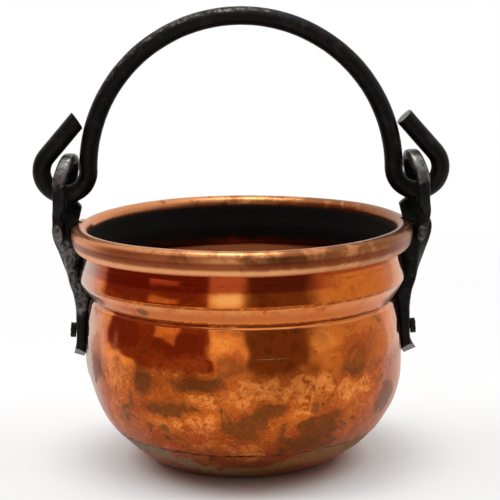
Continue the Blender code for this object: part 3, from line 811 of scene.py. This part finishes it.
def bar_tree():
    """Geometry Nodes: a round bar along the base mesh's edges, with shallow hammer marks."""
    tree, size = new_shape_tree("forged_bar", (
        ("Radius", "Float"), ("Spacing", "Float"), ("Hammering", "Float"), ("Finish", "Material")))
    line = size["Geometry"].node("GeometryNodeMeshToCurve", {"Mesh": size["Geometry"]})
    line = line.node("GeometryNodeResampleCurve", {"Curve": line, "Length": size["Spacing"]}, mode="LENGTH")
    share = line.node("GeometryNodeSplineParameter")
    line = line.node("GeometryNodeStoreNamedAttribute", {"Geometry": line, "Name": "along", "Value": share})
    ring = line.node("GeometryNodeCurvePrimitiveCircle", {"Resolution": 32, "Radius": size["Radius"]})
    bar = line.node("GeometryNodeCurveToMesh", {"Curve": line, "Profile Curve": ring, "Fill Caps": True})
    place = bar.node("GeometryNodeInputPosition")
    broad = place.noise(BAR_BROAD_SIZE * MM, 2.0, rough=0.5)
    small = place.noise(BAR_SMALL_SIZE * MM, 2.0, rough=0.5)
    deep = (broad + small * 0.5) * size["Hammering"] * -1.0
    push = place.node("GeometryNodeInputNormal").scaled(deep)
    bar = bar.node("GeometryNodeSetPosition", {"Geometry": bar, "Offset": push})
    finish_shape(tree, bar, size["Finish"])
    return tree


half = bail_half()
line = half + [Vector((-p.x, p.y)) for p in half[-2::-1]]
base = bpy.data.meshes.new("bail_line")
base.from_pydata([(p.x * MM, 0.0, (PIN_Z + p.y) * MM) for p in line],
                 [(i, i + 1) for i in range(len(line) - 1)], [])
bail = grown("bail_iron", base, bar_tree(), Radius=BAR_R * MM, Spacing=BAR_SPACING * MM,
             Hammering=BAR_KNOCK * MM, Finish=black_iron("bail_iron"))
bail.data.materials.append(CUT_IRON)
bm = bmesh.new()
bm.from_mesh(bail.data)
rubbed_and_sheen = bm.verts.layers.float.new("rubbed_and_sheen")
# Wear and painted sheen: the bar's outer face is made bare toward the top, fully over the left half and
# fading out across the right.
for v in bm.verts:
    x, z = v.co.x / MM, v.co.z / MM - PIN_Z - HOOK_R
    outer = ease((math.hypot(x, z) - BAIL_R - 0.4) / 2.4)
    v[rubbed_and_sheen] = BAR_RUB_AND_SHEEN * outer * ease((z - 14.0) / 30.0) * (1.0 - ease(x / 50.0))
tail_end, tail_dir = half[1], (half[0] - half[1]).normalized()
along = bm.verts.layers.float["along"]
for hand, (askew, away) in CUT_SKEW.items():
    end = [v for v in bm.verts if (v[along] if hand > 0 else 1.0 - v[along]) < TAIL_SHARE]
    place = Vector((hand * tail_end.x, 0.0, PIN_Z + tail_end.y)) * MM
    inward = Vector((-hand * tail_dir.y, 0.0, tail_dir.x))
    chisel(bm, end, place, Vector((hand * tail_dir.x, away, tail_dir.y)) + askew * inward)
bm.to_mesh(bail.data)
bm.free()
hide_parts("bail")
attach(bail, "bail")

# It stands near the round front edge of a white table in a white room. For rays that see it directly the
# table partly glows white, and the glow fades out towards the base, which paints a shadow round the pot on
# top of the real one that stays.
TABLE_HALF, TABLE_TOP, TABLE_PAINT, TABLE_GLOW = 1.2, -0.2 * MM, (0.93, 0.93, 0.93), 0.6
SHADE_R, OPEN_R = 42.0, 100.0
EDGE_X, EDGE_R, EDGE_SOFT = -45.0, 285.0, 3.0
BACK_FADE, BACK_END = 150.0, 600.0
BLACK, WHITE = (0.0, 0.0, 0.0), (1.0, 1.0, 1.0)
mesh = bpy.data.meshes.new("table")
corners = ((-1, -1), (1, -1), (1, 1), (-1, 1))
mesh.from_pydata([(x * TABLE_HALF, y * TABLE_HALF, TABLE_TOP) for x, y in corners], [], [(0, 1, 2, 3)])
table = add_piece("table", mesh)


def seen_directly(tree):
    """1 for rays from the camera and for those that metal or glass sends on."""
    path = tree.nodes.new("ShaderNodeLightPath")
    kinds = ("Is Camera Ray", "Is Glossy Ray", "Is Transmission Ray")
    return sum(Value(tree, path.outputs[kind]) for kind in kinds).least(1.0)


look, shader, place = new_finish("table_white")
shader.inputs["Roughness"].default_value = 0.8
shader.inputs["Specular IOR Level"].default_value = 0.1
shader.inputs["Emission Strength"].default_value = 1.0
x, y = place.part("X"), place.part("Y")
# Painted shadow: the glow is taken away near the pot's axis, between SHADE_R and OPEN_R.
glow = seen_directly(look.node_tree) * place.length().rise(SHADE_R, OPEN_R) * TABLE_GLOW
reach = x.node("ShaderNodeCombineXYZ", {"X": x - EDGE_X, "Y": y.least(0.0)}).length()
put(shader, Base_Color=glow.blend(TABLE_PAINT, BLACK), Emission_Color=glow.blend(BLACK, WHITE),
    Alpha=reach.rise(EDGE_R + EDGE_SOFT, EDGE_R - EDGE_SOFT) * y.rise(BACK_END, BACK_FADE))
mesh.materials.append(look)

# A dark cloth hangs in a curve round the front, out of sight, with a white board, a small warm one and a
# grey one on it. Only mirror rays see it, and it gives the copper its dark and bright blocks.
SCREEN_R, SCREEN_LOW, SCREEN_HIGH = 1.2, -0.5, 1.0
CLOTH_RED, CLOTH_BROWN = (0.24, 0.08, 0.07), (0.16, 0.10, 0.09)
BOARD_WHITE, BOARD_WARM, BOARD_GREY = (0.95, 0.95, 0.95), (0.85, 0.70, 0.55), (0.72, 0.71, 0.69)
turns = [math.radians(a) for a in range(-112, 128, 4)]
mesh = bpy.data.meshes.new("screen")
mesh.from_pydata([(SCREEN_R * math.sin(a), -SCREEN_R * math.cos(a), z)
                  for a in turns for z in (SCREEN_LOW, SCREEN_HIGH)],
                 [], [(2 * i, 2 * i + 1, 2 * i + 3, 2 * i + 2) for i in range(len(turns) - 1)])
screen = add_piece("screen", mesh)
look, shader, place = new_finish("screen_cloth")
x, y, z = (place.part(axis) for axis in "XYZ")
turn = x.math("ARCTAN2", x, y * -1.0) * (180.0 / math.pi)
cloth = turn.rise(-10.0, 0.0).blend(CLOTH_RED, CLOTH_BROWN)
cloth = cloth.over(BOARD_WHITE, turn.rise(-25.0, -21.0) * turn.rise(5.0, 0.0) * z.rise(700.0, 640.0))
warm_high = z.rise(70.0, 100.0) * z.rise(260.0, 230.0)
cloth = cloth.over(BOARD_WARM, turn.rise(-66.0, -62.0) * turn.rise(-45.0, -48.0) * warm_high)
cloth = cloth.over(BOARD_GREY, turn.rise(43.0, 56.0) * z.rise(990.0, 900.0))
cloth = cloth.over(WHITE, turn.rise(-104.0, -112.0))
put(shader, Emission_Color=cloth)
shader.inputs["Emission Strength"].default_value = 1.0
shader.inputs["Base Color"].default_value = (*BLACK, 1.0)
mesh.materials.append(look)
screen.visible_camera = screen.visible_diffuse = screen.visible_shadow = False

# The room is white where it is seen and dim as a light. A soft lamp hangs overhead, and two windows, which
# the copper doesn't mirror, light the iron and the table from the sides. Places are in metres.
ROOM_DIM = (0.16, 0.16, 0.16)
LAMP_AIM = (0.0, 0.0, 0.05)
world = bpy.data.worlds.new("room")
bpy.context.scene.world = world
world.use_nodes = True
tree = world.node_tree
room = seen_directly(tree).blend(ROOM_DIM, WHITE)
tree.links.new(room.socket, tree.nodes["Background"].inputs["Color"])


def soft_light(name, place, width, power, mirrored):
    lamp = bpy.data.lights.new(name, "AREA")
    lamp.shape = "RECTANGLE"
    lamp.size, lamp.size_y, lamp.energy = width, width, power
    obj = bpy.data.objects.new(name, lamp)
    obj.visible_glossy = mirrored
    turn = (Vector(place) - Vector(LAMP_AIM)).to_track_quat("Z", "Y").to_matrix().to_4x4()
    obj.matrix_world = Matrix.Translation(place) @ turn
    bpy.context.scene.collection.objects.link(obj)


soft_light("overhead", (-0.05, 0.0, 1.1), width=0.4, power=4.0, mirrored=True)
soft_light("window_left", (-0.75, 0.1, 0.95), width=0.7, power=6.4, mirrored=False)
soft_light("window_right", (0.75, 0.1, 0.95), width=0.7, power=5.4, mirrored=False)

# The camera stands a little above the rim and looks slightly down, as the outline in the photograph asks.
# Its focal length is in pixels of a picture 500 wide, and its pan, tilt and roll are in degrees.
FOCAL, PICTURE = 1900.0, 500.0
CAMERA_PLACE, PAN, TILT, ROLL = (0.0, -0.821, 0.2483), -0.24, -10.74, -0.71
camera = bpy.data.cameras.new("camera")
camera.sensor_width = 36.0
camera.lens = FOCAL / PICTURE * camera.sensor_width
eye = bpy.data.objects.new("camera", camera)
eye.matrix_world = (Matrix.Translation(CAMERA_PLACE) @ Matrix.Rotation(math.radians(PAN), 4, "Z")
                    @ Matrix.Rotation(math.radians(90.0 + TILT), 4, "X")
                    @ Matrix.Rotation(math.radians(ROLL), 4, "Z"))
bpy.context.scene.collection.objects.link(eye)
bpy.context.scene.camera = eye
bpy.context.scene.view_settings.view_transform = "Standard"
